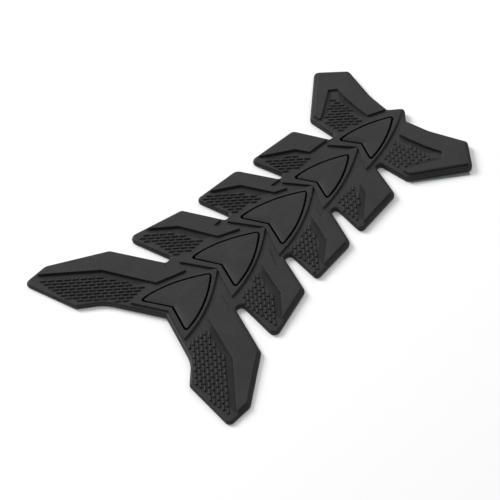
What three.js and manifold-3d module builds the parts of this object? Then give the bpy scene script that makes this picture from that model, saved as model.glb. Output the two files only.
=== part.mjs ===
// Fishbone tank pad: one moulded rubber piece on an adhesive sheet and its release liner.
// Millimetres. X runs from the tail to the head, Y to the left, Z up; the liner lies on Z = 0.
import * as THREE from 'three';
import { mergeVertices } from 'three/addons/utils/BufferGeometryUtils.js';
import Module from 'manifold-3d';

const wasm = await Module();
wasm.setup();

// Driving dimensions.
// Length and width of the rubber, and those at which the corners of its plan are drawn.
const PAD_LENGTH = 220.85;
const PAD_WIDTH = 136.2;
const DRAWN_LENGTH = 220.85;
const DRAWN_WIDTH = 136.2;

// Thicknesses of the layers, from the floor up.
const LINER_THICKNESS = 0.2;
const ADHESIVE_THICKNESS = 0.5;
const WEB_THICKNESS = 3.1;
const TIER_STEP = 1.2;
const LUG_RISE = 0.2;

// Edges and walls.
const BORDER_ROUND = 1.2;
const BORDER_ROUND_STEPS = 3;
const TIER_INSET = 1.9;
const TIER_CHAMFER = 0.3;
const SCALE_SLOPE = 0.7;
const GROOVE_WIDTH = 0.9;
const LUG_ROUND = 0.45;
const LUG_RAMP_LENGTH = 4.5;
const LUG_RAMP_DROP = 0.8;
const LUG_CORNER_RADIUS = 1.25;
const SMALLEST_RADIUS = 0.6;
const REAR_MARGIN = 3;
const ADHESIVE_INSET = 0.8;
const LINER_INSET = 0.2;

// The top falls away from the spine towards the fin tips, less so at the head.
const DROOP_PER_MM = 0.022;
const DROOP_FADE_START = 55;
const DROOP_FADE_END = 78;

// Grip bricks: a running bond laid at 45 degrees across each fin.
const GRIP_PITCH = 2.87;
const BRICK_LENGTH = 3.2;
const BRICK_WIDTH = 1.5;
const BRICK_HEIGHT = 0.55;
const BRICK_HIP = 1.2;
const BRICK_ROOT = 0.15;
const BRICK_END_MARGIN = 0.5;

// Segments on each rounded corner and on each curved side.
const CORNER_STEPS = 4;
const CURVE_STEPS = 9;

// Plan of the left half, each corner as x, y and its radius.
const TAIL_VERTEX = [-79.9, 0, 0.5];
const TAIL_BEND = [-93.4, 28.6, 20];
const TAIL_HEEL = [-104.6, 37.6, 2.2];
const TAIL_REAR_TIP = [-110.3, 68.1, 2.6];
const TAIL_OUTER_BEND = [-94.8, 68.1, 5];
const TAIL_FRONT_TIP = [-66.4, 50.5, 3];
const WAIST_1_REAR = [-54.2, 23.3, 1.9];
const WAIST_1_FRONT = [-49.7, 23.3, 1.9];
const RIB_A_REAR_TIP = [-54.7, 49.7, 3.2];
const RIB_A_FRONT_TIP = [-22.2, 41.4, 2.6];
const WAIST_2_REAR = [-12.9, 19.7, 1.8];
const WAIST_2_FRONT = [-8.4, 19.7, 1.8];
const RIB_B_REAR_TIP = [-12.1, 40.7, 2.3];
const RIB_B_FRONT_TIP = [17.1, 38.5, 4];
const WAIST_3_REAR = [26.8, 17.4, 1.6];
const WAIST_3_FRONT = [30.9, 17.4, 1.6];
const RIB_C_REAR_TIP = [26.9, 37.4, 2.4];
const RIB_C_FRONT_TIP = [58.0, 34.6, 3];
const WAIST_4_REAR = [65.7, 15.5, 1.6];
const WAIST_4_FRONT = [69.6, 15.5, 1.6];
const HEAD_REAR_TIP = [70.2, 32.9, 3];
const HEAD_OUTER_TIP = [98.5, 53.7, 3];
const HEAD_FRONT_TIP = [111.5, 40.3, 2.5];
const HEAD_BEND = [104.4, 20, 30];
const HEAD_NECK = [102.2, 6.4, 1.5];
const HEAD_POINT = [109.2, 0, 2.4];

// Raised tiers of the left half: the fronts of the fins. Corners that lie off the pad only
// carry a line past its edge.
const TAIL_TIER = [
  [-112, 75.6], [-79.6, 43.8], [-68.3, 17], [-52.4, 11.2], [-57.2, 21.2],
  [-53.5, 24.5], [-52.5, 26], [-57, 45], [-60, 62], [-80, 80],
];
const RIB_A_TIER = [
  [-52.2, 53], [-32.6, 34.3], [-24.9, 14.4], [-13.6, 9.1], [-20.7, 20.7],
  [-12, 20.5], [-15.8, 38], [-14, 55],
];
const RIB_B_TIER = [
  [-12.5, 44.2], [9.4, 29.1], [16.8, 12.2], [23.5, 9.1], [19.2, 16.8],
  [27.6, 15.9], [27.6, 22], [23.4, 35], [24, 50],
];
const RIB_C_TIER = [
  [24, 40.3], [47.3, 24], [50.7, 16.9], [67, 15.5], [67, 30], [66, 50], [30, 50],
];
const HEAD_TIER = [
  [72.4, 28.4], [73.6, 28.2], [91.9, 38.5], [95.7, 35.4], [93.4, 27], [91.8, 18],
  [91, 10.7], [101.5, 5.9], [106, 9], [120, 45], [98, 65], [72.4, 45],
];

// Arrow scales down the spine, tail to head: the rear tips and rear vertices of the raised
// frames, then the rear corners, rear vertices and front tips of the lugs inside them.
const FRAME_TIPS = [[-86.2, 17.9], [-50.4, 17.5], [-14, 17.2], [24.8, 13.7], [60.5, 13.1]];
const FRAME_VERTICES = [-78, -41.6, -4.7, 33.4, 69.6];
const LUG_REARS = [[-81.9, 15], [-44.6, 14.6], [-8.1, 14.2], [31.2, 11], [67.2, 10.6]];
const LUG_VERTICES = [-74.9, -38.2, -1.8, 36.3, 72.8];
const LUG_TIPS = [-46, -9.2, 28.3, 62.5, 99];
const HEAD_SCALE_TIP = 106.4;
const SIDE_BULGE_FRAME = 0.955;
const SIDE_BULGE_LUG = 0.91;

// Grip fields of the left half, and one gap of the bond in each.
const TAIL_GRIP = [
  [-107, 65], [-105.3, 50.5], [-102.4, 40], [-95.5, 35.6], [-90, 28.5], [-86.5, 20.8],
  [-73.7, 19.6], [-79, 31], [-83.2, 40.7], [-91.4, 50], [-98, 56.6], [-105, 63.4],
];
const RIB_A_GRIP = [
  [-51.4, 47], [-49.6, 36], [-49.2, 27], [-50.4, 21.2], [-38, 18.6], [-29.2, 16],
  [-32, 21.5], [-34.3, 28], [-36, 32.7], [-42, 38.6], [-48, 44.6],
];
const RIB_B_GRIP = [
  [-9, 38.4], [-8.2, 28], [-7.9, 19], [2, 17.2], [12.2, 14.4], [9.7, 19.5],
  [7.2, 25.7], [2.6, 29.3], [-2.4, 33.4], [-7.4, 38.3],
];
const RIB_C_GRIP = [
  [30.8, 31], [31.4, 23], [32.3, 15.9], [38, 14.8], [49.2, 12.2], [46.8, 17.5],
  [45, 21.7], [41.2, 24.3], [36.6, 27.4], [32.8, 31],
];
const HEAD_GRIP = [
  [71, 25], [79, 29.2], [86, 32.8], [91, 33.6], [90.6, 27], [89.4, 20],
  [88.4, 11.2], [80, 12.7], [71, 14.3],
];
const GRIP_EDGES = [TAIL_GRIP, RIB_A_GRIP, RIB_B_GRIP, RIB_C_GRIP, HEAD_GRIP];
const GRIP_GAPS = [[-102.7, 46.3], [-46.7, 36.25], [-4.9, 28.8], [33.8, 22.7], [75.5, 23.5]];

// The liner shows past the rubber along the rear edge of the right head wing.
const LINER_SHOW_REAR = 0.6;
const LINER_SHOW_OUTER = 2;

// Heights that follow from the thicknesses.
const RUBBER_BOTTOM = LINER_THICKNESS + ADHESIVE_THICKNESS;
const FIELD_TOP = RUBBER_BOTTOM + WEB_THICKNESS;
const TIER_TOP = FIELD_TOP + TIER_STEP;
const LUG_TOP = TIER_TOP + LUG_RISE;
const OVERLAP = 0.5;
const MERGE = 1e-5;
const SEAM = 1e-4;
const REACH = 2 * PAD_LENGTH;

// Solids.
/** Turns a closed three.js geometry into a solid that can be cut and joined. */
function solidOf(geometry) {
  const bare = geometry.index ? geometry.toNonIndexed() : geometry.clone();
  bare.deleteAttribute('normal');
  bare.deleteAttribute('uv');
  const merged = mergeVertices(bare, MERGE);
  const corners = [];
  for (let i = 0; i < merged.index.count; i += 3) {
    const face = [0, 1, 2].map((k) => merged.index.getX(i + k));
    if (new Set(face).size === 3) {
      corners.push(...face);
    }
  }
  return new wasm.Manifold(new wasm.Mesh({
    numProp: 3,
    vertProperties: new Float32Array(merged.attributes.position.array),
    triVerts: new Uint32Array(corners),
  }));
}

/** Gives a solid back as a geometry with its own positions and triangles. */
function geometryOf(solid) {
  const mesh = solid.getMesh();
  const geometry = new THREE.BufferGeometry();
  geometry.setAttribute('position', new THREE.BufferAttribute(mesh.vertProperties, 3));
  geometry.setIndex(new THREE.BufferAttribute(mesh.triVerts, 1));
  geometry.computeVertexNormals();
  return geometry;
}

/** A box between two corners, as a solid. */
function block(low, high) {
  const size = high.map((value, axis) => value - low[axis]);
  const geometry = new THREE.BoxGeometry(...size);
  geometry.translate(...low.map((value, axis) => value + size[axis] / 2));
  return solidOf(geometry);
}

/** Joins a list of solids into one. */
function joined(solids) {
  return solids.reduce((whole, solid) => whole.add(solid));
}

// Outlines.
/** A place along the spine, on a pad of the stated length. */
function lengthwise(x) {
  return x * (PAD_LENGTH / DRAWN_LENGTH);
}

/** A corner of the drawn plan, on a pad of the stated length and width. */
function placed([x, y, ...radius]) {
  return [lengthwise(x), y * (PAD_WIDTH / DRAWN_WIDTH), ...radius];
}

/** Adds the mirror images of the corners of the left half, so the outline closes. */
function bothSides(corners) {
  const right = corners.filter((corner) => corner[1] > 0);
  return [...corners, ...right.reverse().map(([x, y, radius]) => [x, -y, radius])];
}

/** Moves every side of a clockwise outline inwards and adapts the corner radii. */
function insetCorners(corners, distance) {
  const count = corners.length;
  return corners.map(([x, y, radius], i) => {
    const here = new THREE.Vector2(x, y);
    const before = new THREE.Vector2(...corners[(i + count - 1) % count]);
    const after = new THREE.Vector2(...corners[(i + 1) % count]);
    const inward = here.clone().sub(before).normalize();
    const outward = after.clone().sub(here).normalize();
    const turn = inward.cross(outward);
    const normalIn = new THREE.Vector2(inward.y, -inward.x);
    const normalOut = new THREE.Vector2(outward.y, -outward.x);
    const miter = normalIn.clone().add(normalOut);
    const moved = here.addScaledVector(miter, distance / (1 + normalIn.dot(normalOut)));
    const grown = turn > 0 ? radius + distance : radius - distance;
    return [moved.x, moved.y, radius === 0 ? 0 : Math.max(grown, SMALLEST_RADIUS)];
  });
}

/** The points of the arc that rounds one corner, or the corner itself. */
function cornerPoints(before, here, after, radius) {
  if (radius === 0) {
    return [here];
  }
  const back = before.clone().sub(here);
  const ahead = after.clone().sub(here);
  const half = Math.acos(back.dot(ahead) / back.length() / ahead.length()) / 2;
  const longest = Math.min(back.length(), ahead.length()) * 0.48;
  const reach = Math.min(radius / Math.tan(half), longest);
  const start = here.clone().addScaledVector(back.normalize(), reach);
  const middle = back.clone().add(ahead.normalize()).normalize();
  const centre = here.clone().addScaledVector(middle, reach / Math.cos(half));
  const turn = Math.sign(ahead.cross(back)) * (Math.PI - 2 * half);
  const steps = Array.from({ length: CORNER_STEPS + 1 }, (_, i) => (turn * i) / CORNER_STEPS);
  return steps.map((angle) => start.clone().rotateAround(centre, angle));
}

/** A closed shape through corners, each rounded by its radius. */
function roundedShape(corners) {
  const count = corners.length;
  const points = corners.map(([x, y]) => new THREE.Vector2(x, y));
  return new THREE.Shape(corners.flatMap((corner, i) => cornerPoints(
    points[(i + count - 1) % count], points[i], points[(i + 1) % count], corner[2],
  )));
}

/** A straight-walled prism over a plain polygon. */
function prism(points, low, high) {
  return prismOf(new THREE.Shape(points.map(([x, y]) => new THREE.Vector2(x, y))), low, high);
}

/** A straight-walled prism over a shape. */
function prismOf(shape, low, high) {
  const geometry = new THREE.ExtrudeGeometry(shape, { depth: high - low, bevelEnabled: false });
  geometry.translate(0, 0, low);
  return solidOf(geometry);
}

/** A slab whose top edge is rounded or chamfered inwards from the given outline. */
function softSlab(shape, low, high, edge, steps, offset = 0) {
  const geometry = new THREE.ExtrudeGeometry(shape, {
    depth: high - low,
    bevelEnabled: true,
    bevelThickness: edge.height,
    bevelSize: edge.width,
    bevelOffset: offset - edge.width,
    bevelSegments: steps,
  });
  geometry.translate(0, 0, low - edge.height);
  const below = block([-REACH, -REACH, low - 20], [REACH, REACH, low]);
  return solidOf(geometry).subtract(below);
}

const LEFT_CORNERS = [
  TAIL_VERTEX, TAIL_BEND, TAIL_HEEL, TAIL_REAR_TIP, TAIL_OUTER_BEND, TAIL_FRONT_TIP,
  WAIST_1_REAR, WAIST_1_FRONT, RIB_A_REAR_TIP, RIB_A_FRONT_TIP,
  WAIST_2_REAR, WAIST_2_FRONT, RIB_B_REAR_TIP, RIB_B_FRONT_TIP,
  WAIST_3_REAR, WAIST_3_FRONT, RIB_C_REAR_TIP, RIB_C_FRONT_TIP,
  WAIST_4_REAR, WAIST_4_FRONT, HEAD_REAR_TIP, HEAD_OUTER_TIP, HEAD_FRONT_TIP,
  HEAD_BEND, HEAD_NECK, HEAD_POINT,
];
const OUTLINE = bothSides(LEFT_CORNERS.map(placed));
const SCALES = FRAME_TIPS.map((tip, i) => ({
  tip: placed(tip),
  vertex: lengthwise(FRAME_VERTICES[i]),
  lug: placed(LUG_REARS[i]),
  lugVertex: lengthwise(LUG_VERTICES[i]),
  lugTip: lengthwise(LUG_TIPS[i]),
}));

// Rubber pad.
/** The web of the pad, with its rounded border. */
function web() {
  const edge = { width: BORDER_ROUND, height: BORDER_ROUND };
  const shape = roundedShape(OUTLINE);
  return softSlab(shape, RUBBER_BOTTOM, FIELD_TOP, edge, BORDER_ROUND_STEPS);
}

/** The raised fronts of the fins, all cut from one plateau that follows the border. */
function tiers() {
  const edge = { width: TIER_CHAMFER, height: TIER_CHAMFER };
  const shape = roundedShape(insetCorners(OUTLINE, TIER_INSET));
  const low = FIELD_TOP - OVERLAP;
  const plateau = softSlab(shape, low, TIER_TOP, edge, 1);
  const cutters = [TAIL_TIER, RIB_A_TIER, RIB_B_TIER, RIB_C_TIER, HEAD_TIER];
  return joined(cutters.map((points) => prism(points.map(placed), low - 1, TIER_TOP + 1)))
    .intersect(plateau);
}

/** The corners of an arrowhead with a notched rear and curved sides. */
function arrowCorners(rearX, rearY, vertexX, tipX, bulge, rounding) {
  const side = new THREE.QuadraticBezierCurve(
    new THREE.Vector2(rearX, rearY),
    new THREE.Vector2((rearX + tipX) / 2, rearY * bulge),
    new THREE.Vector2(tipX, 0),
  ).getPoints(CURVE_STEPS).slice(1, -1);
  const left = [
    [vertexX, 0, rounding],
    [rearX, rearY, rounding],
    ...side.map(({ x, y }) => [x, y, 0]),
    [tipX, 0, rounding],
  ];
  return bothSides(left);
}

/** A raised frame: sloped sides, an upright rear edge and the groove round its lug. */
function scaleFrame(scale, frontTip) {
  const low = FIELD_TOP - OVERLAP;
  const height = TIER_STEP + OVERLAP;
  const edge = { width: height * SCALE_SLOPE / TIER_STEP, height };
  const [x, y] = scale.tip;
  const outer = arrowCorners(
    x - REAR_MARGIN, y, scale.vertex - REAR_MARGIN, frontTip, SIDE_BULGE_FRAME, 0,
  );
  const body = softSlab(roundedShape(outer), low, TIER_TOP, edge, 1, edge.width);
  const behind = [
    [scale.vertex, 0], [x, y], [x, y + REAR_MARGIN], [x - 3 * REAR_MARGIN, y + REAR_MARGIN],
    [x - 3 * REAR_MARGIN, -y - REAR_MARGIN], [x, -y - REAR_MARGIN], [x, -y],
  ];
  const groove = roundedShape(insetCorners(lugCorners(scale), -GROOVE_WIDTH / 2));
  return body.subtract(prism(behind, low - 1, TIER_TOP + 1))
    .subtract(prismOf(groove, FIELD_TOP, TIER_TOP + 1));
}

/** The plan of a lug, along the middle of its groove. */
function lugCorners({ lug, lugVertex, lugTip }) {
  return arrowCorners(lug[0], lug[1], lugVertex, lugTip, SIDE_BULGE_LUG, LUG_CORNER_RADIUS);
}

/** A lug inside its groove, ramped down towards its notched rear. */
function scaleLug(scale) {
  const shape = roundedShape(insetCorners(lugCorners(scale), GROOVE_WIDTH / 2));
  const edge = { width: LUG_ROUND, height: LUG_ROUND };
  const body = softSlab(shape, FIELD_TOP - OVERLAP, LUG_TOP, edge, 2);
  const [x, y] = scale.lug;
  const along = new THREE.Vector3(scale.lugVertex - x, -y, 0);
  const inward = new THREE.Vector3(y, scale.lugVertex - x, 0).normalize();
  const ramp = inward.multiplyScalar(LUG_RAMP_LENGTH)
    .add(new THREE.Vector3(0, 0, LUG_RAMP_DROP)).normalize();
  const up = new THREE.Vector3().crossVectors(ramp, along).normalize();
  if (up.z < 0) {
    up.negate();
  }
  const depth = 8;
  const cutter = new THREE.BoxGeometry(along.length() * 2, 40, depth);
  const middle = new THREE.Vector3((x + scale.lugVertex) / 2, y / 2, LUG_TOP - LUG_RAMP_DROP)
    .addScaledVector(up, depth / 2);
  const side = new THREE.Vector3().crossVectors(up, along.normalize());
  cutter.applyMatrix4(new THREE.Matrix4().makeBasis(along, side, up).setPosition(middle));
  return body.subtract(solidOf(cutter));
}

/** True where a point lies inside a polygon. */
function inside(points, x, y) {
  let odd = false;
  points.forEach(([x1, y1], i) => {
    const [x2, y2] = points[(i + 1) % points.length];
    if ((y1 > y) !== (y2 > y) && x < x1 + ((y - y1) / (y2 - y1)) * (x2 - x1)) {
      odd = !odd;
    }
  });
  return odd;
}

/** One grip brick: a low hipped ridge whose foot is sunk into the field. */
function brick(x, y) {
  const height = BRICK_HEIGHT + BRICK_ROOT;
  const half = (BRICK_WIDTH / 2) * (height / BRICK_HEIGHT);
  const length = BRICK_LENGTH + 2 * (half - BRICK_WIDTH / 2);
  const gable = new THREE.Shape([
    new THREE.Vector2(-half, 0), new THREE.Vector2(half, 0), new THREE.Vector2(0, height),
  ]);
  const geometry = new THREE.ExtrudeGeometry(gable, { depth: length, bevelEnabled: false });
  geometry.rotateX(Math.PI / 2);
  geometry.translate(0, length / 2, 0);
  const position = geometry.attributes.position;
  for (let i = 0; i < position.count; i += 1) {
    if (position.getZ(i) > height / 2) {
      position.setY(i, position.getY(i) * (1 - (2 * half * BRICK_HIP) / length));
    }
  }
  geometry.rotateZ(Math.PI / 4);
  geometry.translate(x, y, FIELD_TOP - BRICK_ROOT);
  return solidOf(geometry);
}

/** Every brick of a field whose ends stay inside its edge. */
function gripBricks(field, i) {
  const edge = field.map(placed);
  const gap = placed(GRIP_GAPS[i]);
  const bricks = [];
  const run = BRICK_END_MARGIN * Math.SQRT1_2;
  const rows = Math.ceil(PAD_WIDTH / 2 / GRIP_PITCH);
  for (let row = -rows; row <= rows; row += 1) {
    for (let column = -rows; column <= rows; column += 1) {
      const x = gap[0] + (column + 0.5) * GRIP_PITCH;
      const y = gap[1] + (row + 0.5) * GRIP_PITCH;
      const fits = inside(edge, x - run, y + run) && inside(edge, x + run, y - run);
      if (fits) {
        bricks.push(brick(x, y));
      }
    }
  }
  return bricks;
}

/** How far the top lies below the spine's level at a point of the plan. */
function droop(x, y) {
  const fade = THREE.MathUtils.clamp(
    (DROOP_FADE_END - x) / (DROOP_FADE_END - DROOP_FADE_START), 0, 1,
  );
  return DROOP_PER_MM * Math.abs(y) * fade;
}

/** Lowers all but the flat underside by the droop. */
function drooped(geometry) {
  const position = geometry.attributes.position;
  for (let i = 0; i < position.count; i += 1) {
    const z = position.getZ(i);
    if (z > RUBBER_BOTTOM + 0.01) {
      position.setZ(i, z - droop(position.getX(i), position.getY(i)));
    }
  }
  return geometry;
}

/** Joins the left half to its mirror image: the cut faces on the spine come out. */
function bothHalves(left) {
  const { position } = left.attributes;
  const corners = [];
  const push = (i, side) => {
    const y = position.getY(i);
    corners.push(position.getX(i), y > SEAM ? y * side : 0, position.getZ(i));
  };
  for (let i = 0; i < left.index.count; i += 3) {
    const face = [0, 1, 2].map((k) => left.index.getX(i + k));
    if (face.some((corner) => position.getY(corner) > SEAM)) {
      face.forEach((corner) => push(corner, 1));
      face.reverse().forEach((corner) => push(corner, -1));
    }
  }
  const whole = new THREE.BufferGeometry();
  whole.setAttribute('position', new THREE.Float32BufferAttribute(corners, 3));
  return geometryOf(solidOf(whole));
}

/** The whole rubber piece: one half is cut, lowered and joined to its mirror image. */
function rubberPad() {
  const fronts = SCALES.slice(1).map((scale) => scale.vertex);
  const headTip = lengthwise(HEAD_SCALE_TIP);
  const frames = SCALES.map((scale, i) => scaleFrame(scale, fronts[i] ?? headTip));
  const body = joined([web(), tiers(), ...frames, ...SCALES.map(scaleLug)]);
  const bricks = joined(GRIP_EDGES.flatMap(gripBricks));
  const leftHalf = block([-REACH, 0, -REACH], [REACH, REACH, REACH]);
  return bothHalves(drooped(geometryOf(body.add(bricks).intersect(leftHalf))));
}

// Back layers.
/** The double-sided adhesive between the rubber and the liner. */
function adhesiveSheet() {
  const shape = roundedShape(insetCorners(OUTLINE, ADHESIVE_INSET));
  return geometryOf(prismOf(shape, LINER_THICKNESS, RUBBER_BOTTOM));
}

/** The peel-off liner, which shows along one edge of the right head wing. */
function releaseLiner() {
  const shape = roundedShape(insetCorners(OUTLINE, LINER_INSET));
  const [rear, outer] = [HEAD_REAR_TIP, HEAD_OUTER_TIP].map(placed)
    .map(([x, y]) => new THREE.Vector2(x, -y));
  const along = outer.clone().sub(rear).normalize();
  const out = new THREE.Vector2(along.y, -along.x);
  const from = rear.clone().addScaledVector(along, HEAD_REAR_TIP[2] * 0.6);
  const to = outer.clone().addScaledVector(along, -HEAD_OUTER_TIP[2] * 0.6);
  const strip = [
    from.clone().addScaledVector(out, -2),
    from.clone().addScaledVector(out, LINER_SHOW_REAR),
    to.clone().addScaledVector(out, LINER_SHOW_OUTER),
    to.clone().addScaledVector(out, -2),
  ].map((point) => [point.x, point.y]);
  return geometryOf(prismOf(shape, 0, LINER_THICKNESS).add(prism(strip, 0, LINER_THICKNESS)));
}

// Scene.
const group = new THREE.Group();

/** Adds a named piece, moved so that the pad's box is centred on the origin. */
function addPiece(name, geometry, colour, roughness) {
  const material = new THREE.MeshStandardMaterial({ color: colour, roughness, metalness: 0 });
  const mesh = new THREE.Mesh(geometry, material);
  mesh.name = name;
  mesh.position.x = -CENTRE_X;
  group.add(mesh);
}

const plan = new THREE.Box2().setFromPoints(roundedShape(OUTLINE).getPoints());
const CENTRE_X = (plan.min.x + plan.max.x) / 2;

addPiece('rubber_pad', rubberPad(), 0x2b2b2d, 0.7);
addPiece('adhesive_sheet', adhesiveSheet(), 0x1d1d1f, 0.9);
addPiece('release_liner', releaseLiner(), 0xa9b3ad, 0.45);

export default group;
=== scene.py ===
"""Fishbone tank pad lying on its release liner, seen from above its tail.

Metres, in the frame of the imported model: X runs from the tail to the head, Y to the left
and Z up, with the liner on Z = 0. Plan sizes are written in millimetres, as in the model.
"""
import logging
import math
from collections.abc import Callable, Iterator, Mapping, Sequence
from contextlib import contextmanager
from dataclasses import dataclass, field
from enum import Enum
from typing import Any

import bmesh
import bpy
from mathutils import Matrix, Vector


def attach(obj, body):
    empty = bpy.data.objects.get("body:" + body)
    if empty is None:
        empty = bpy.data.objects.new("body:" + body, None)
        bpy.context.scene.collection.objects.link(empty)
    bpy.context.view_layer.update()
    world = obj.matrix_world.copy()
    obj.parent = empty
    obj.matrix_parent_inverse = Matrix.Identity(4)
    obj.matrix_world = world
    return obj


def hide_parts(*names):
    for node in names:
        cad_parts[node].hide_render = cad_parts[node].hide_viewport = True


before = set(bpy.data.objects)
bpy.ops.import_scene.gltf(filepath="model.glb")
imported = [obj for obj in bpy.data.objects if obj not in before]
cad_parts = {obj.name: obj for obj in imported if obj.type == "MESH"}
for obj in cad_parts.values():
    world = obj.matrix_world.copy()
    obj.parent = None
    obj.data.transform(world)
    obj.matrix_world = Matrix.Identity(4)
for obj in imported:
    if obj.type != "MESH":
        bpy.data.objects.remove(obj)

LOG = logging.getLogger("tank_pad")
MM = 0.001
DIAGONAL = math.sqrt(0.5)

# Middle of the drawn plan along X; it lies on the frame's origin.
CENTRE_X = 0.7005

# Heights and walls of the moulding, in millimetres.
FIELD_TOP = 3.8
LUG_TOP = 5.2
GROOVE_HALF = 0.45
GROOVE_SINK = 1.6
GROOVE_SLACK = 0.1
DROOP_PER_MM = 0.022
DROOP_FADE = (55.0, 78.0)

# Bond of the grip bricks, in millimetres.
GRIP_PITCH = 2.87
GRIP_SPAN = 70.0
BRICK_END_MARGIN = 0.5

# How far up a face's normal points: 1 for a level face, 0 for an upright wall.
LEVEL = 0.99
NEARLY_LEVEL = 0.9
HALF_UP = 0.5
STEEP = 0.3

Plan = tuple[float, float]
Path = Sequence[Plan]
Plane = tuple[Vector, Vector]
Colour = tuple[float, float, float]


class Side(Enum):
    """The two halves of the pad, as the sign of Y."""

    LEFT = 1
    RIGHT = -1


def droop(x: float, y: float) -> float:
    """How far the top lies below the spine's level at a spot of the drawn plan.

    Args:
        x: Place along the spine, in millimetres.
        y: Place across it.

    Returns:
        The drop in millimetres.
    """
    start, end = DROOP_FADE
    fade = min(max((end - x) / (end - start), 0.0), 1.0)
    return DROOP_PER_MM * abs(y) * fade


def inside(points: Path, x: float, y: float) -> bool:
    """Tells whether a point lies inside a polygon.

    Args:
        points: Corners of the polygon.
        x: First coordinate of the point.
        y: Second coordinate of the point.

    Returns:
        True inside.
    """
    odd = False
    for (x1, y1), (x2, y2) in zip(points, [*points[1:], points[0]]):
        if (y1 > y) != (y2 > y) and x < x1 + (y - y1) / (y2 - y1) * (x2 - x1):
            odd = not odd
    return odd


def over(outlines: Sequence[Path], x: float, y: float) -> bool:
    """True for a point that lies in one of several polygons."""
    return any(inside(outline, x, y) for outline in outlines)


def drawn(place: Vector) -> Plan:
    """The spot of the drawn plan, in millimetres, under a place in the frame."""
    return place.x / MM + CENTRE_X, place.y / MM


def framed(x: float, y: float, height: float) -> Vector:
    """The place in the frame, in metres, of a spot of the drawn plan at a height."""
    return Vector((x - CENTRE_X, y, height)) * MM


def above_field(place: Vector) -> float:
    """The height of a place over the top of the fields, in millimetres."""
    return place.z / MM - (FIELD_TOP - droop(*drawn(place)))


# Mesh tools.
def only(obj: bpy.types.Object) -> None:
    """Deselects everything, then selects one object and makes it active.

    Args:
        obj: The object.
    """
    bpy.ops.object.select_all(action="DESELECT")
    obj.select_set(True)
    bpy.context.view_layer.objects.active = obj


@contextmanager
def editing(obj: bpy.types.Object, mode: str = "FACE") -> Iterator[None]:
    """Opens an object in edit mode with nothing selected.

    Args:
        obj: The object to edit.
        mode: VERT, EDGE or FACE.

    Yields:
        Nothing; edit mode ends with the block.
    """
    only(obj)
    bpy.ops.object.mode_set(mode="EDIT")
    bpy.ops.mesh.select_mode(type=mode)
    bpy.ops.mesh.select_all(action="DESELECT")
    yield
    bpy.ops.object.mode_set(mode="OBJECT")


def pick(obj: bpy.types.Object, kind: str, test: Callable[[Any], bool]) -> int:
    """Selects the elements of an edited mesh that pass a test, and no others.

    Args:
        obj: The object in edit mode.
        kind: verts, edges or faces.
        test: Says of one element whether it is wanted.

    Returns:
        How many were selected.
    """
    mesh = bmesh.from_edit_mesh(obj.data)
    for group in (mesh.faces, mesh.edges, mesh.verts):
        for element in group:
            element.select_set(False)
    chosen = [element for element in getattr(mesh, kind) if test(element)]
    for element in chosen:
        element.select_set(True)
    mesh.select_flush_mode()
    bmesh.update_edit_mesh(obj.data)
    return len(chosen)


def reshape(obj: bpy.types.Object, move: Callable[[Vector], Vector]) -> None:
    """Moves every vertex of a mesh to the place that a rule gives it.

    Args:
        obj: The object to change.
        move: Gives the new place for an old one.
    """
    for vertex in obj.data.vertices:
        vertex.co = move(vertex.co)
    obj.data.update()


def modify(obj: bpy.types.Object, kind: str, **settings: Any) -> None:
    """Adds a modifier with its settings and applies it.

    Args:
        obj: The object to change.
        kind: Blender's modifier type.
        **settings: The modifier's own settings.
    """
    only(obj)
    modifier = obj.modifiers.new(kind.lower(), kind)
    for key, value in settings.items():
        setattr(modifier, key, value)
    bpy.ops.object.modifier_apply(modifier=modifier.name)


def name_added(name: str) -> bpy.types.Object:
    """Names the object that was just added or joined, and its mesh, and returns it.

    Args:
        name: Name for both.

    Returns:
        The object.
    """
    obj = bpy.context.view_layer.objects.active
    obj.name = name
    obj.data.name = name
    return obj


def copy_mesh(source: bpy.types.Object, name: str) -> bpy.types.Object:
    """Puts a copy of an object's mesh into a new object at the origin.

    Args:
        source: The object to copy from.
        name: Name of the new object.

    Returns:
        The new object.
    """
    copy = bpy.data.objects.new(name, source.data.copy())
    bpy.context.collection.objects.link(copy)
    return copy


def join(pieces: Sequence[bpy.types.Object], name: str) -> bpy.types.Object:
    """Joins several objects into the first one and names it.

    Args:
        pieces: The objects, all at the origin.
        name: Name of the whole.

    Returns:
        The joined object.
    """
    bpy.ops.object.select_all(action="DESELECT")
    for piece in pieces:
        piece.select_set(True)
    bpy.context.view_layer.objects.active = pieces[0]
    bpy.ops.object.join()
    return name_added(name)


def finish_piece(
    obj: bpy.types.Object, material: bpy.types.Material, angle: float = 35.0
) -> bpy.types.Object:
    """Shades a piece, gives it its material, and lets it ride on the pad.

    Args:
        obj: The piece.
        material: Its finish.
        angle: Edges sharper than this many degrees stay crisp.

    Returns:
        The same piece.
    """
    only(obj)
    bpy.ops.object.shade_smooth_by_angle(angle=math.radians(angle))
    modify(obj, "WEIGHTED_NORMAL", keep_sharp=True)
    obj.data.materials.clear()
    obj.data.materials.append(material)
    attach(obj, "root")
    return obj


def dress_faces(
    obj: bpy.types.Object,
    material: bpy.types.Material,
    test: Callable[[bpy.types.MeshPolygon], bool],
) -> int:
    """Gives some faces of a finished piece a second material.

    Args:
        obj: The piece.
        material: The material of those faces, a darker rubber that paints shade on them.
        test: Says of one face whether it is meant.

    Returns:
        How many faces took it.
    """
    obj.data.materials.append(material)
    chosen = [face for face in obj.data.polygons if test(face)]
    for face in chosen:
        face.material_index = len(obj.data.materials) - 1
    return len(chosen)


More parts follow.
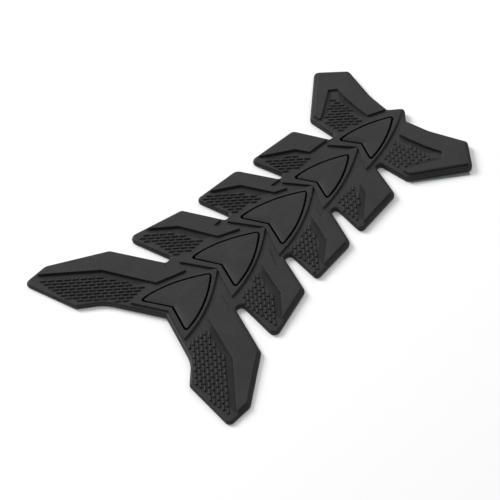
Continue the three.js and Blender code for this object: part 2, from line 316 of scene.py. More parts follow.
# Shader tools.
class Value:
    """A number that varies over a surface: a socket that takes part in arithmetic."""

    def __init__(self, graph: "Graph", socket: bpy.types.NodeSocket) -> None:
        """Keeps the graph and the socket that the number comes from."""
        self.graph = graph
        self.socket = socket

    def _math(self, operation: str, first: Any, second: Any) -> "Value":
        """Adds one Math node and returns its result."""
        node = self.graph.add("ShaderNodeMath", {0: first, 1: second}, operation=operation)
        return Value(self.graph, node.outputs[0])

    def __add__(self, other: Any) -> "Value":
        """self + other."""
        return self._math("ADD", self, other)

    def __sub__(self, other: Any) -> "Value":
        """self - other."""
        return self._math("SUBTRACT", self, other)

    def __mul__(self, other: Any) -> "Value":
        """self * other."""
        return self._math("MULTIPLY", self, other)


class Graph:
    """The nodes of one material, all of them added by one method."""

    def __init__(self, name: str) -> None:
        """Starts an empty node material of that name.

        Args:
            name: Name of the material.
        """
        self.material = bpy.data.materials.new(name)
        self.material.use_nodes = True
        self.tree = self.material.node_tree
        self.tree.nodes.clear()

    def add(
        self, kind: str, sockets: Mapping[str | int, Any] | None = None, **settings: Any
    ) -> bpy.types.Node:
        """Adds a node, first its settings and then its sockets.

        Args:
            kind: The node's type.
            sockets: A number, colour, Value or socket for each input, by name or index.
            **settings: The node's own settings.

        Returns:
            The node.
        """
        node = self.tree.nodes.new(kind)
        for key, value in settings.items():
            setattr(node, key, value)
        for key, value in (sockets or {}).items():
            source = value.socket if isinstance(value, Value) else value
            if isinstance(source, bpy.types.NodeSocket):
                self.tree.links.new(source, node.inputs[key])
            else:
                node.inputs[key].default_value = source
        return node

    def noise(self, place: Any, size: float, detail: float = 2.0, rough: float = 0.5) -> Value:
        """Adds a noise pattern.

        Args:
            place: The coordinates it reads.
            size: Size of its spots, in metres.
            detail: Octaves added to it.
            rough: Share of each finer octave.

        Returns:
            Its value, about 0.5 on the whole.
        """
        node = self.add(
            "ShaderNodeTexNoise",
            {"Vector": place, "Scale": 1.0 / size, "Detail": detail, "Roughness": rough},
        )
        return Value(self, node.outputs["Fac"])

    def object_place(self) -> bpy.types.NodeSocket:
        """The object's own coordinates, in metres."""
        return self.add("ShaderNodeTexCoord").outputs["Object"]

    def blend(self, factor: Value, low: Colour, high: Colour) -> bpy.types.NodeSocket:
        """Mixes two colours by a factor and returns the colour socket."""
        sockets = {0: factor, 6: (*low, 1.0), 7: (*high, 1.0)}
        return self.add("ShaderNodeMix", sockets, data_type="RGBA").outputs[2]

    def bump(
        self,
        height: Value,
        depth: float,
        strength: float,
        below: bpy.types.NodeSocket | None = None,
    ) -> bpy.types.NodeSocket:
        """Adds a bump and returns its normal.

        Args:
            height: The pattern, from 0 to 1.
            depth: What 1 stands for, in metres.
            strength: How much of it is used.
            below: A normal that this bump adds to.

        Returns:
            The normal socket.
        """
        sockets = {"Height": height, "Distance": depth, "Strength": strength}
        if below is not None:
            sockets["Normal"] = below
        return self.add("ShaderNodeBump", sockets).outputs["Normal"]

    def finish(self, shader: bpy.types.Node) -> bpy.types.Material:
        """Links a shader to the output and returns the material."""
        self.add("ShaderNodeOutputMaterial", {"Surface": shader.outputs[0]})
        return self.material

    def principled(self, sockets: Mapping[str, Any]) -> bpy.types.Material:
        """Finishes the material with one Principled shader and returns it."""
        return self.finish(self.add("ShaderNodeBsdfPrincipled", sockets))


@dataclass(frozen=True)
class RubberFinish:
    """Matte moulded rubber with a fine grain and a faint bloom."""

    name: str = "moulded_rubber"
    dark: Colour = (0.0095, 0.0095, 0.0100)
    light: Colour = (0.0222, 0.0222, 0.0234)
    roughness: float = 0.52
    gloss: float = 0.25
    grain: float = 0.0009
    cloud: float = 0.011
    tone_floor: float = 0.35
    contrast: float = 3.4
    wave_depth: float = 0.00025
    pore_depth: float = 0.00005

    def material(self) -> bpy.types.Material:
        """Builds the rubber's nodes.

        Returns:
            The material.
        """
        graph = Graph(self.name)
        place = graph.object_place()
        cloud = graph.noise(place, self.cloud, 3.0, 0.55)
        grain = graph.noise(place, self.grain, 3.0, 0.6)
        speck = graph.noise(place, self.grain * 3.1, 2.0, 0.5)
        tone = cloud * 0.4 + grain * 0.6
        spread = (tone - self.tone_floor) * self.contrast
        waves = graph.bump(cloud, self.wave_depth, 0.35)
        pores = graph.bump(grain * 0.7 + speck * 0.3, self.pore_depth, 0.55, waves)
        return graph.principled(
            {
                "Base Color": graph.blend(spread, self.dark, self.light),
                "Roughness": (grain - 0.5) * 0.16 + (cloud * 0.08 + (self.roughness - 0.04)),
                "Specular IOR Level": self.gloss,
                "Normal": pores,
            }
        )


# Painted shade: darker rubber laid on the hollows along the feet of the tiers, where the field
# darkens towards the wall.
HOLLOW_PAINTED_SHADE = RubberFinish(
    name="hollow_painted_shade", dark=(0.0078, 0.0078, 0.0082), light=(0.0172, 0.0172, 0.0182),
    gloss=0.16,
)
# Painted shade: near-black rubber laid on the walls and floors of the grooves round the lugs
# and on the lugs' side walls.
GROOVE_PAINTED_SHADE = RubberFinish(
    name="groove_painted_shade", dark=(0.0012, 0.0012, 0.0013), light=(0.0024, 0.0024, 0.0026),
    roughness=0.8, gloss=0.04,
)


@dataclass(frozen=True)
class FoamFinish:
    """Dark adhesive foam with fine closed cells at its edge."""

    name: str = "adhesive_foam"
    dark: Colour = (0.010, 0.010, 0.011)
    light: Colour = (0.022, 0.022, 0.023)
    cell: float = 0.00018
    depth: float = 0.00008

    def material(self) -> bpy.types.Material:
        """Builds the foam's nodes.

        Returns:
            The material.
        """
        graph = Graph(self.name)
        cells = graph.noise(graph.object_place(), self.cell, 1.0, 0.5)
        return graph.principled(
            {
                "Base Color": graph.blend(cells, self.dark, self.light),
                "Roughness": cells * 0.1 + 0.82,
                "Normal": graph.bump(cells, self.depth, 0.8),
            }
        )


@dataclass(frozen=True)
class LinerFinish:
    """Satin release film, grey-green, with faint fibres and handling marks."""

    name: str = "release_film"
    dark: Colour = (0.200, 0.245, 0.230)
    light: Colour = (0.320, 0.370, 0.352)
    fibre: float = 0.0006
    mark: float = 0.014
    tone_floor: float = 0.3
    contrast: float = 2.2
    depth: float = 0.00003

    def material(self) -> bpy.types.Material:
        """Builds the film's nodes.

        Returns:
            The material.
        """
        graph = Graph(self.name)
        place = graph.object_place()
        sockets = {"Vector": place, "Scale": (0.25, 1, 1)}
        stretch = graph.add("ShaderNodeMapping", sockets)
        fibre = graph.noise(stretch.outputs[0], self.fibre, 3.0, 0.6)
        marks = graph.noise(place, self.mark, 2.0, 0.5)
        spread = (fibre * 0.35 + marks * 0.65 - self.tone_floor) * self.contrast
        return graph.principled(
            {
                "Base Color": graph.blend(spread, self.dark, self.light),
                "Roughness": marks * 0.2 + 0.3,
                "Normal": graph.bump(fibre, self.depth, 0.4),
            }
        )


@dataclass(frozen=True)
class FloorFinish:
    """White floor that keeps the pad's shadow and shows as white around it."""

    name: str = "studio_floor"
    colour: Colour = (0.86, 0.86, 0.86)
    bounce: Colour = (0.80, 0.80, 0.80)
    lift: float = 0.08

    def material(self) -> bpy.types.Material:
        """Builds the floor's nodes.

        Returns:
            The material.
        """
        graph = Graph(self.name)
        rays = graph.add("ShaderNodeLightPath")
        seen = Value(graph, rays.outputs["Is Camera Ray"])
        glossy = Value(graph, rays.outputs["Is Glossy Ray"])
        passed = Value(graph, rays.outputs["Is Transmission Ray"])
        colour = graph.blend(seen, self.bounce, self.colour)
        paint = graph.add("ShaderNodeBsdfDiffuse", {"Color": colour})
        strength = (seen + glossy + passed) * self.lift
        glow = graph.add("ShaderNodeEmission", {"Color": (1, 1, 1, 1), "Strength": strength})
        both = graph.add("ShaderNodeAddShader", {0: paint.outputs[0], 1: glow.outputs[0]})
        return graph.finish(both)


# Grip fields.
@dataclass
class GripBrick:
    """One low brick of the grip pattern, rounded on top and steep at its ends."""

    width: float = 1.58
    length: float = 3.35
    height: float = 0.78
    root: float = 0.2
    shoulder: float = 0.24
    taper: tuple[float, float] = (0.55, 0.96)
    spare: float = 0.2

    def footprint(self, x: float, y: float, centre: Plan, side: Side) -> bool:
        """Tells whether a point lies over a brick's place.

        Args:
            x: First coordinate of the point, in the drawn plan.
            y: Second coordinate of the point.
            centre: Centre of the brick on the left half.
            side: The half that the brick is on.

        Returns:
            True over the brick.
        """
        dx = x - centre[0]
        dy = (y - centre[1] * side.value) * side.value
        along, across = abs(dy - dx) * DIAGONAL, abs(dy + dx) * DIAGONAL
        return along < self.length / 2 + self.spare and across < self.width / 2 + self.spare

    def model(self) -> bpy.types.Object:
        """Shapes the brick from a cube.

        Returns:
            The brick, centred over the origin with the field at Z = 0.
        """
        bpy.ops.object.select_all(action="DESELECT")
        bpy.ops.mesh.primitive_cube_add(size=1.0)
        brick = name_added("grip_brick")
        total = self.height + self.root
        with editing(brick):
            bpy.ops.mesh.select_all(action="SELECT")
            bpy.ops.transform.translate(value=(0, 0, 0.5))
            size = Vector((self.width, self.length, total)) * MM
            bpy.ops.transform.resize(value=size, center_override=(0, 0, 0))
            pick(brick, "faces", lambda face: face.normal.z < -HALF_UP)
            bpy.ops.mesh.delete(type="FACE")
            pick(brick, "faces", lambda face: face.normal.z > HALF_UP)
            bpy.ops.transform.resize(value=(*self.taper, 1))
            middle = 0.5 * total * MM
            pick(brick, "edges", lambda edge: max(v.co.z for v in edge.verts) > middle)
            bpy.ops.mesh.bevel(offset=self.shoulder * MM, segments=2, affect="EDGES")
        reshape(brick, lambda place: place - Vector((0, 0, self.root * MM)))
        return brick


@dataclass
class GripField:
    """A patch of bricks laid in a running bond across one fin.

    The solid lays the bond alike on both halves, inside the edge. In the photograph the bond
    of each half is shifted a little and fills the reach, which is the edge where none is
    given. The relief is the height of the bricks as a share of the modelled brick's.
    """

    name: str
    gap: Plan
    edge: Path
    shifts: tuple[Plan, Plan]
    reach: Path = ()
    relief: float = 1.0

    def laid(self, shift: Plan, edge: Path) -> list[Plan]:
        """The brick centres whose ends stay inside an edge, on the left half.

        Args:
            shift: How far the bond is moved.
            edge: Corners of the area to fill.

        Returns:
            The centres, in the drawn plan.
        """
        run = BRICK_END_MARGIN * DIAGONAL
        rows = math.ceil(GRIP_SPAN / GRIP_PITCH)
        found = []
        for row in range(-rows, rows + 1):
            for column in range(-rows, rows + 1):
                x = self.gap[0] + shift[0] + (column + 0.5) * GRIP_PITCH
                y = self.gap[1] + shift[1] + (row + 0.5) * GRIP_PITCH
                if inside(edge, x - run, y + run) and inside(edge, x + run, y - run):
                    found.append((x, y))
        return found

    def solid_centres(self) -> list[Plan]:
        """The brick centres of the solid, on the left half."""
        return self.laid((0.0, 0.0), self.edge)

    def centres(self, side: Side) -> list[Plan]:
        """The brick centres of one half, written as if on the left half."""
        shift = self.shifts[0] if side is Side.LEFT else self.shifts[1]
        return self.laid(shift, self.reach or self.edge)

    def build(self, brick: bpy.types.Object, side: Side) -> bpy.types.Object:
        """Copies the brick to each centre and joins the copies.

        Args:
            brick: The modelled brick.
            side: The half to build on.

        Returns:
            The patch as one object.
        """
        copies = []
        for x, y in self.centres(side):
            copy = copy_mesh(brick, self.name)
            place = framed(x, y * side.value, FIELD_TOP - droop(x, y))
            turn = Matrix.Rotation(math.radians(45) * side.value, 4, "Z")
            turn @= Matrix.Diagonal((1, 1, self.relief, 1))
            tilt = Matrix.Rotation(-math.atan(DROOP_PER_MM) * side.value, 4, "X")
            copy.data.transform(Matrix.Translation(place) @ tilt @ turn)
            copies.append(copy)
        return join(copies, f"{self.name}_{side.name.lower()}")


# Scale lugs.
@dataclass
class ScaleLug:
    """The rounded arrow lug inside one scale, ramped down to its notched rear."""

    name: str
    rear: Plan
    vertex: float
    tip: float
    bulge: float = 0.91
    chords: int = 14
    corner: float = 0.8
    notch: float = 0.9
    rim: float = 0.35
    rear_gap: float = 0.25
    foot: float = FIELD_TOP - GROOVE_SINK - 0.1
    ramp_length: float = 5.2
    ramp_drop: float = 0.72
    crease: float = 0.12
    slice_step: float = 1.1
    arc_steps: int = 7
    margin: float = 2.0
    notch_reach: float = 3.0
    top_skin: float = 0.01

    def side_points(self) -> list[Vector]:
        """Follows the curved left side.

        Returns:
            Points from the rear corner to the tip.
        """
        start = Vector((self.rear[0], self.rear[1]))
        middle = Vector(((self.rear[0] + self.tip) / 2, self.rear[1] * self.bulge))
        end = Vector((self.tip, 0.0))
        steps = [i / self.chords for i in range(self.chords + 1)]
        return [start * (1 - t) ** 2 + middle * (2 * t * (1 - t)) + end * t**2 for t in steps]

    def contour(self, inset: float = 0.0) -> list[Plan]:
        """The whole outline along the middle of the groove, unrounded.

        Args:
            inset: How far every side is moved in, in millimetres.

        Returns:
            The corners, the notch first.
        """
        points = [Vector((self.vertex, 0.0)), *self.side_points()]
        points += [Vector((p.x, -p.y)) for p in reversed(points[1:-1])]
        moved = []
        around = zip([points[-1], *points], points, [*points[1:], points[0]])
        for before, here, after in around:
            first, second = (here - before).normalized(), (after - here).normalized()
            normal = Vector((first.y + second.y, -first.x - second.x))
            place = here + normal * inset / (1 + first.dot(second))
            moved.append((place.x, place.y))
        return moved

    def groove_rim(self) -> list[Plan]:
        """The whole outline just beyond the outer wall of the groove."""
        return self.contour(-GROOVE_HALF - GROOVE_SLACK)

    def cuts(self) -> list[Plane]:
        """Upright planes that trim the left half out of a plate.

        Returns:
            A point and an outward normal for each plane, in millimetres.
        """
        points = self.side_points()
        line = Vector(self.rear) - Vector((self.vertex, 0.0))
        rear_normal = Vector((-line.y, line.x)).normalized()
        side = (points[1] - points[0]).normalized()
        rear = points[0] + side * (self.rear_gap / -rear_normal.dot(side))
        chords = []
        for start, end in zip(points, points[1:]):
            along = end - start
            chords.append((start, Vector((-along.y, along.x)).normalized()))
        first, last = chords[0][1], chords[-1][1]
        deep = GROOVE_HALF + self.corner
        share = (1 - rear_normal.dot(first)) / rear_normal.cross(first)
        centre = rear - deep * (rear_normal + Vector((-rear_normal.y, rear_normal.x)) * share)
        end_x = self.tip - deep / last.x
        planes = [(rear - rear_normal * GROOVE_HALF, rear_normal)]
        planes += self.arc(centre, rear_normal, first)
        planes += [(point - normal * GROOVE_HALF, normal) for point, normal in chords]
        planes += self.arc(Vector((end_x, 0.0)), last, Vector((1.0, 0.0)))
        return planes

    def arc(self, centre: Vector, start: Vector, end: Vector) -> list[Plane]:
        """Planes that round one corner.

        Args:
            centre: Centre of the corner's arc.
            start: Normal of the side before the corner.
            end: Normal of the side after it.

        Returns:
            A point and a normal for each plane.
        """
        turn = math.atan2(start.cross(end), start.dot(end))
        planes = []
        for i in range(1, self.arc_steps):
            angle = turn * i / self.arc_steps
            cos, sin = math.cos(angle), math.sin(angle)
            normal = Vector((start.x * cos - start.y * sin, start.x * sin + start.y * cos))
            planes.append((centre + normal * self.corner, normal))
        return planes

    def height(self, x: float, y: float) -> float:
        """How far the top lies below its level, with the ramp and the droop.

        Args:
            x: Place along the spine in the drawn plan.
            y: Place across it.

        Returns:
            The drop in millimetres.
        """
        run = Vector(self.rear) - Vector((self.vertex, 0.0))
        normal = Vector((run.y, -run.x)).normalized()
        spread = math.sqrt(y * y + self.crease)
        edge = GROOVE_HALF + self.rear_gap
        distance = normal.x * (x - self.vertex) + normal.y * spread - edge
        share = min(max(distance / self.ramp_length, 0.0), 1.0)
        return self.ramp_drop * (1.0 - share) ** 2 + droop(x, y)

    def build(self) -> bpy.types.Object:
        """Cuts, mirrors, raises, rounds and ramps the lug.

        Returns:
            The lug as one closed object.
        """
        bpy.ops.object.select_all(action="DESELECT")
        bpy.ops.mesh.primitive_plane_add(size=1.0)
        lug = name_added(self.name)
        length = self.tip - self.rear[0] + 2 * self.margin
        size = Vector((length, self.rear[1] + self.margin, 1))
        with editing(lug):
            bpy.ops.mesh.select_all(action="SELECT")
            bpy.ops.transform.translate(value=(0.5, 0.5, 0))
            bpy.ops.transform.resize(value=size * MM, center_override=(0, 0, 0))
            bpy.ops.transform.translate(value=framed(self.rear[0] - self.margin, 0, self.foot))
            for point, normal in self.cuts():
                bpy.ops.mesh.select_all(action="SELECT")
                bpy.ops.mesh.bisect(
                    plane_co=framed(point.x, point.y, self.foot),
                    plane_no=(normal.x, normal.y, 0),
                    clear_outer=True,
                    threshold=1e-8,
                )
        modify(lug, "MIRROR", use_axis=(False, True, False), merge_threshold=1e-6)
        with editing(lug):
            end = (self.vertex - CENTRE_X + self.notch_reach) * MM
            pick(lug, "verts", lambda v: abs(v.co.y) < 1e-6 and v.co.x < end)
            bpy.ops.mesh.bevel(offset=self.notch * MM, segments=4, affect="VERTICES")
            bpy.ops.mesh.select_all(action="SELECT")
            bpy.ops.mesh.extrude_region_move(
                TRANSFORM_OT_translate={"value": (0, 0, (LUG_TOP - self.foot) * MM)}
            )
            bpy.ops.mesh.select_all(action="SELECT")
            bpy.ops.mesh.normals_make_consistent(inside=False)
            top = (LUG_TOP - self.top_skin) * MM
            pick(lug, "edges", lambda edge: self.is_rim(edge, top))
            bpy.ops.mesh.bevel(offset=self.rim * MM, segments=4, affect="EDGES")
            self.slice(lug, top)
        reshape(lug, self.lowered)
        return lug

    @staticmethod
    def is_rim(edge: bmesh.types.BMEdge, top: float) -> bool:
        """True for an edge between the top and a side wall."""
        level = min(vertex.co.z for vertex in edge.verts) > top
        return level and any(abs(face.normal.z) < HALF_UP for face in edge.link_faces)

    def slice(self, lug: bpy.types.Object, top: float) -> None:
        """Cuts the flat top into small faces, so it can be bent.

        Args:
            lug: The lug in edit mode.
            top: Height above which a face belongs to the top, in metres.
        """
        spans = (
            (Vector((1, 0, 0)), self.rear[0] - CENTRE_X, self.tip - CENTRE_X),
            (Vector((0, 1, 0)), -self.rear[1], self.rear[1]),
        )
        for axis, start, end in spans:
            count = int((end - start) / self.slice_step)
            for i in range(1, count):
                pick(lug, "faces", lambda face: face.normal.z > LEVEL)
                bpy.ops.mesh.bisect(
                    plane_co=axis * (start + (end - start) * i / count) * MM,
                    plane_no=axis,
                    threshold=1e-7,
                )

    def lowered(self, place: Vector) -> Vector:
        """Moves one vertex down by the ramp and the droop, the foot by the droop alone.

        Args:
            place: The vertex, in the frame.

        Returns:
            Its new place.
        """
        x, y = drawn(place)
        drop = self.height(x, y) if place.z > (self.foot + 0.1) * MM else droop(x, y)
        return Vector((place.x, place.y, place.z - drop * MM))


# Hollows.
@dataclass
class FinHollow:
    """The shallow hollow in which a fin's field runs down to the foot of its tier.

    The path follows the foot on the left half. The width narrows to its end share at both
    ends, over the fade, and the outline goes under the tier by the skin. A corner no further
    from the path than the slack counts as on it.
    """

    name: str
    path: Path
    width: float = 3.8
    end_share: float = 0.3
    depth: float = 0.16
    fade: float = 4.0
    skin: float = 0.15
    slack: float = 0.3

    def stations(self) -> list[tuple[Plan, float]]:
        """Goes along the foot, from one end of the path to the other.

        Returns:
            Places in the plan, each with its share of the full width.
        """
        points = [Vector(point) for point in self.path]
        first = points[0] + (points[1] - points[0]).normalized() * self.fade
        last = points[-1] + (points[-2] - points[-1]).normalized() * self.fade
        full = [first, *points[1:-1], last]
        shared = [((point.x, point.y), 1.0) for point in full]
        return [(self.path[0], 0.0), *shared, (self.path[-1], 0.0)]

    def across(self, index: int, points: Sequence[Vector]) -> Vector:
        """The mitred direction from the foot into the field.

        Args:
            index: Which station.
            points: All stations.

        Returns:
            The direction, longer at a corner so that the width holds.
        """
        ends = [
            (points[i + 1] - points[i]).normalized()
            for i in (index - 1, index)
            if 0 <= i < len(points) - 1
        ]
        first, second = ends[0], ends[-1]
        normal = Vector((first.y + second.y, -first.x - second.x))
        return normal / (1 + first.dot(second))

    def spot(self, index: int, outer: bool) -> Vector:
        """Where one corner of the hollow lies in the plan.

        Args:
            index: Which station.
            outer: True for the edge in the field, false for the foot of the tier.

        Returns:
            The corner's place on the left half.
        """
        stations = self.stations()
        points = [Vector(point) for point, _ in stations]
        share = stations[index][1]
        spread = self.end_share + (1 - self.end_share) * share
        reach = self.width * spread if outer else -self.skin
        return points[index] + self.across(index, points) * reach

    def outline(self) -> list[Plan]:
        """Goes round the hollow in the plan, on the left half.

        Returns:
            The corners of its rim.
        """
        count = len(self.stations())
        foot = [self.spot(index, False) for index in range(count)]
        rim = [self.spot(index, True) for index in reversed(range(count))]
        return [(corner.x, corner.y) for corner in (*foot, *rim)]

    def cuts(self, side: Side) -> list[Plane]:
        """The upright planes that part the hollow from its field and in itself.

        Args:
            side: The half that it lies on.

        Returns:
            A point and a normal for each plane, in the frame.
        """
        places = [Vector(point) for point, _ in self.stations()]
        rim = [self.spot(index, True) for index in range(len(places))]
        lines = [*zip(rim, rim[1:]), *zip(places, rim)]
        planes = []
        for first, second in lines:
            along = (second - first).normalized()
            normal = Vector((along.y, -along.x * side.value, 0))
            spot = Vector(((first.x - CENTRE_X) * MM, first.y * side.value * MM, 0))
            planes.append((spot, normal))
        return planes

    def near_foot(self, x: float, y: float) -> bool:
        """Tells whether a point lies on the foot where the hollow has its full depth.

        Args:
            x: Place along the spine in the drawn plan.
            y: Place across it, on either half.

        Returns:
            True on the foot.
        """
        full = [Vector(point) for point, share in self.stations() if share == 1.0]
        spot = Vector((x, abs(y)))
        for first, second in zip(full, full[1:]):
            along = second - first
            share = (spot - first).dot(along) / along.length_squared
            gap = (spot - first - along * min(max(share, 0), 1)).length
            if gap < self.slack:
                return True
        return False

    def reaches(self, corners: Path) -> bool:
        """Tells whether a face of the field holds a part of the hollow.

        Args:
            corners: Corners and middle of the face in the plan, on either half.

        Returns:
            True where one of them lies in the hollow or on a station.
        """
        marks = [Vector(point) for point, _ in self.stations()]
        outline = self.outline()
        for x, y in corners:
            spot = Vector((x, abs(y)))
            near = any((spot - mark).length < self.slack for mark in marks)
            if near or inside(outline, x, abs(y)):
                return True
        return False


# The moulding.
@dataclass
class RubberMoulding:
    """The pad's body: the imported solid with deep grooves, hollows and softened edges.

    Angles are in degrees. Levels are heights over the top of the fields, in millimetres.
    """

    node: str = "rubber_pad"
    name: str = "rubber_moulding"
    edge_radius: float = 0.22
    edge_angle: float = 34.0
    flat_angle: float = 0.7
    weld: float = 0.002
    level: float = 0.03
    lug_level: float = 0.02
    foot_level: float = 0.04
    near_level: float = 0.5
    groove_top: float = 0.95
    groove_level: float = 0.3
    hollow_levels: tuple[float, float] = (-1.0, 0.2)
    hollow_shrink: float = 0.97
    brick_top: float = 0.6
    brick_reach: float = 2.5
    spine_half: float = 8.0

    def build(
        self,
        fields: Sequence[GripField],
        brick: GripBrick,
        lugs: Sequence[ScaleLug],
        hollows: Sequence[FinHollow],
    ) -> bpy.types.Object:
        """Copies the solid, takes out what is modelled finer, and softens the edges.

        Args:
            fields: Grip patches whose bricks come out of the copy.
            brick: Size of those bricks.
            lugs: Lugs that come out of the copy.
            hollows: Hollows that are cut at the feet of the tiers.

        Returns:
            The body as one object.
        """
        body = copy_mesh(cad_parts[self.node], self.name)
        bricks = [centre for patch in fields for centre in patch.solid_centres()]
        contours = [lug.contour() for lug in lugs]
        with editing(body):
            bpy.ops.mesh.select_all(action="SELECT")
            bpy.ops.mesh.remove_doubles(threshold=self.weld * MM)
            found = pick(body, "faces", lambda face: self.is_brick(face, bricks, brick))
            bpy.ops.mesh.delete(type="FACE")
            LOG.info("%d faces of bricks taken out", found)
            found = pick(body, "faces", lambda face: self.is_lug(face, contours))
            bpy.ops.mesh.delete(type="FACE")
            LOG.info("%d faces of lugs taken out", found)
        with editing(body, "EDGE"):
            found = pick(body, "edges", lambda edge: len(edge.link_faces) == 1)
            LOG.info("%d edges of holes", found)
            bpy.ops.mesh.fill_holes(sides=0)
            pick(body, "faces", self.is_bent)
            bpy.ops.mesh.quads_convert_to_tris(quad_method="BEAUTY", ngon_method="BEAUTY")
            bpy.ops.mesh.select_all(action="SELECT")
            bpy.ops.mesh.dissolve_limited(angle_limit=math.radians(self.flat_angle))
        with editing(body, "VERT"):
            rims = [lug.groove_rim() for lug in lugs]
            found = pick(body, "verts", lambda vertex: self.is_groove(vertex, rims))
            bpy.ops.transform.translate(value=(0, 0, -GROOVE_SINK * MM))
            LOG.info("%d corners of grooves sunk", found)
        with editing(body):
            found = pick(body, "faces", self.is_flap)
            bpy.ops.mesh.delete(type="FACE")
            LOG.info("%d stray flaps taken off", found)
        for hollow in hollows:
            self.carve(body, hollow)
        modify(
            body,
            "BEVEL",
            width=self.edge_radius * MM,
            segments=2,
            limit_method="ANGLE",
            angle_limit=math.radians(self.edge_angle),
            use_clamp_overlap=False,
        )
        return body

    def carve(self, body: bpy.types.Object, hollow: FinHollow) -> None:
        """Sinks one hollow into the fields of both halves.

        Args:
            body: The moulding, before its edges are softened.
            hollow: The hollow.
        """
        with editing(body):
            for side in Side:
                for spot, normal in hollow.cuts(side):
                    pick(body, "faces", lambda face: self.is_field(face, side, hollow))
                    bpy.ops.mesh.bisect(plane_co=spot, plane_no=normal)
        with editing(body, "VERT"):
            found = pick(body, "verts", lambda vertex: self.is_foot(vertex, hollow))
            bpy.ops.transform.translate(value=(0, 0, -hollow.depth * MM))
        with editing(body):
            outline = hollow.outline()
            pick(body, "faces", lambda face: self.is_within(face, outline))
            bpy.ops.mesh.quads_convert_to_tris(quad_method="BEAUTY", ngon_method="BEAUTY")
        LOG.info("%s: %d corners sunk", hollow.name, found)

    def is_field(self, face: bmesh.types.BMFace, side: Side, hollow: FinHollow) -> bool:
        """Tells whether a face is a level one of a field that a hollow touches.

        Args:
            face: The face.
            side: The half that it has to be on.
            hollow: The hollow.

        Returns:
            True for such a face.
        """
        middle = face.calc_center_median()
        if face.normal.z < LEVEL or middle.y * side.value < 0:
            return False
        places = [vertex.co for vertex in face.verts]
        if max(abs(above_field(place)) for place in places) > self.foot_level:
            return False
        return hollow.reaches([drawn(place) for place in (*places, middle)])

    def is_foot(self, vertex: bmesh.types.BMVert, hollow: FinHollow) -> bool:
        """True for a corner at the foot of a tier where the hollow is deep."""
        level = abs(above_field(vertex.co)) < self.foot_level
        return level and hollow.near_foot(*drawn(vertex.co))

    def is_within(self, face: bmesh.types.BMFace, outline: Path) -> bool:
        """Tells whether a face looks up from inside an outline near the field's level.

        Args:
            face: The face, on either half.
            outline: The outline, on the left half.

        Returns:
            True for such a face.
        """
        middle = face.calc_center_median()
        x, y = drawn(middle)
        near = abs(above_field(middle)) < self.near_level
        return near and face.normal.z > NEARLY_LEVEL and inside(outline, x, abs(y))

    @staticmethod
    def is_flap(face: bmesh.types.BMFace) -> bool:
        """True for a sliver that hangs on the moulding by one edge."""
        return sum(len(edge.link_faces) == 1 for edge in face.edges) > 1

    def is_bent(self, face: bmesh.types.BMFace) -> bool:
        """True for the cover of a hole that reaches down over the rounded border."""
        levels = [above_field(vertex.co) for vertex in face.verts]
        return len(levels) > 3 and max(levels) - min(levels) > self.level

    def is_groove(self, vertex: bmesh.types.BMVert, rims: Sequence[Path]) -> bool:
        """True for a corner of a groove's floor."""
        return abs(above_field(vertex.co)) < self.level and over(rims, *drawn(vertex.co))

    def is_brick(self, face: bmesh.types.BMFace, bricks: Path, brick: GripBrick) -> bool:
        """Tells whether a face belongs to one of the solid's bricks.

        Args:
            face: The face.
            bricks: Centres of the bricks, on the left half.
            brick: Size of the bricks.

        Returns:
            True for such a face.
        """
        middle = face.calc_center_median()
        x, y = drawn(middle)
        highest = max(above_field(vertex.co) for vertex in face.verts)
        if above_field(middle) > self.brick_top or highest < self.level:
            return False
        if abs(y) < self.spine_half:
            return False
        side = Side.LEFT if y > 0 else Side.RIGHT
        return any(
            brick.footprint(x, y, centre, side)
            for centre in bricks
            if max(abs(centre[0] - x), abs(centre[1] - abs(y))) < self.brick_reach
        )

    def is_lug(self, face: bmesh.types.BMFace, contours: Sequence[Path]) -> bool:
        """True for a face of one of the solid's lugs."""
        middle = face.calc_center_median()
        return above_field(middle) > self.lug_level and over(contours, *drawn(middle))

    def in_groove(self, face: bpy.types.MeshPolygon, rims: Sequence[Path]) -> bool:
        """Tells whether a face is a wall or the floor of a groove round a lug.

        Args:
            face: The face.
            rims: Outlines just beyond the grooves.

        Returns:
            True for such a face.
        """
        height = above_field(face.center)
        level = abs(height) < self.groove_level and face.normal.z > NEARLY_LEVEL
        return height < self.groove_top and not level and over(rims, *drawn(face.center))

    def in_hollow(
        self,
        body: bpy.types.Object,
        face: bpy.types.MeshPolygon,
        outlines: Sequence[Path],
    ) -> bool:
        """True for a face that lies wholly in one of the hollows.

        Args:
            body: The moulding.
            face: One of its faces.
            outlines: The rims of the hollows, on the left half.

        Returns:
            Whether the face belongs to a hollow.
        """
        low, high = self.hollow_levels
        if not low < above_field(face.center) < high or face.normal.z < HALF_UP:
            return False
        corners = [body.data.vertices[index].co for index in face.vertices]
        places = [face.center.lerp(corner, self.hollow_shrink) for corner in corners]
        spots = [drawn(place) for place in (face.center, *places)]
        return any(all(inside(edge, x, abs(y)) for x, y in spots) for edge in outlines)


@dataclass
class BackLayers:
    """The adhesive and the liner under the rubber, kept as packed."""

    adhesive: str = "adhesive_sheet"
    liner: str = "release_liner"

    def dress(self) -> None:
        """Gives both layers their finish."""
        for node, finish in ((self.adhesive, FoamFinish()), (self.liner, LinerFinish())):
            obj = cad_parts[node]
            material = finish.material()
            for slot in obj.material_slots:
                slot.material = material
            LOG.info("%s dressed", node)


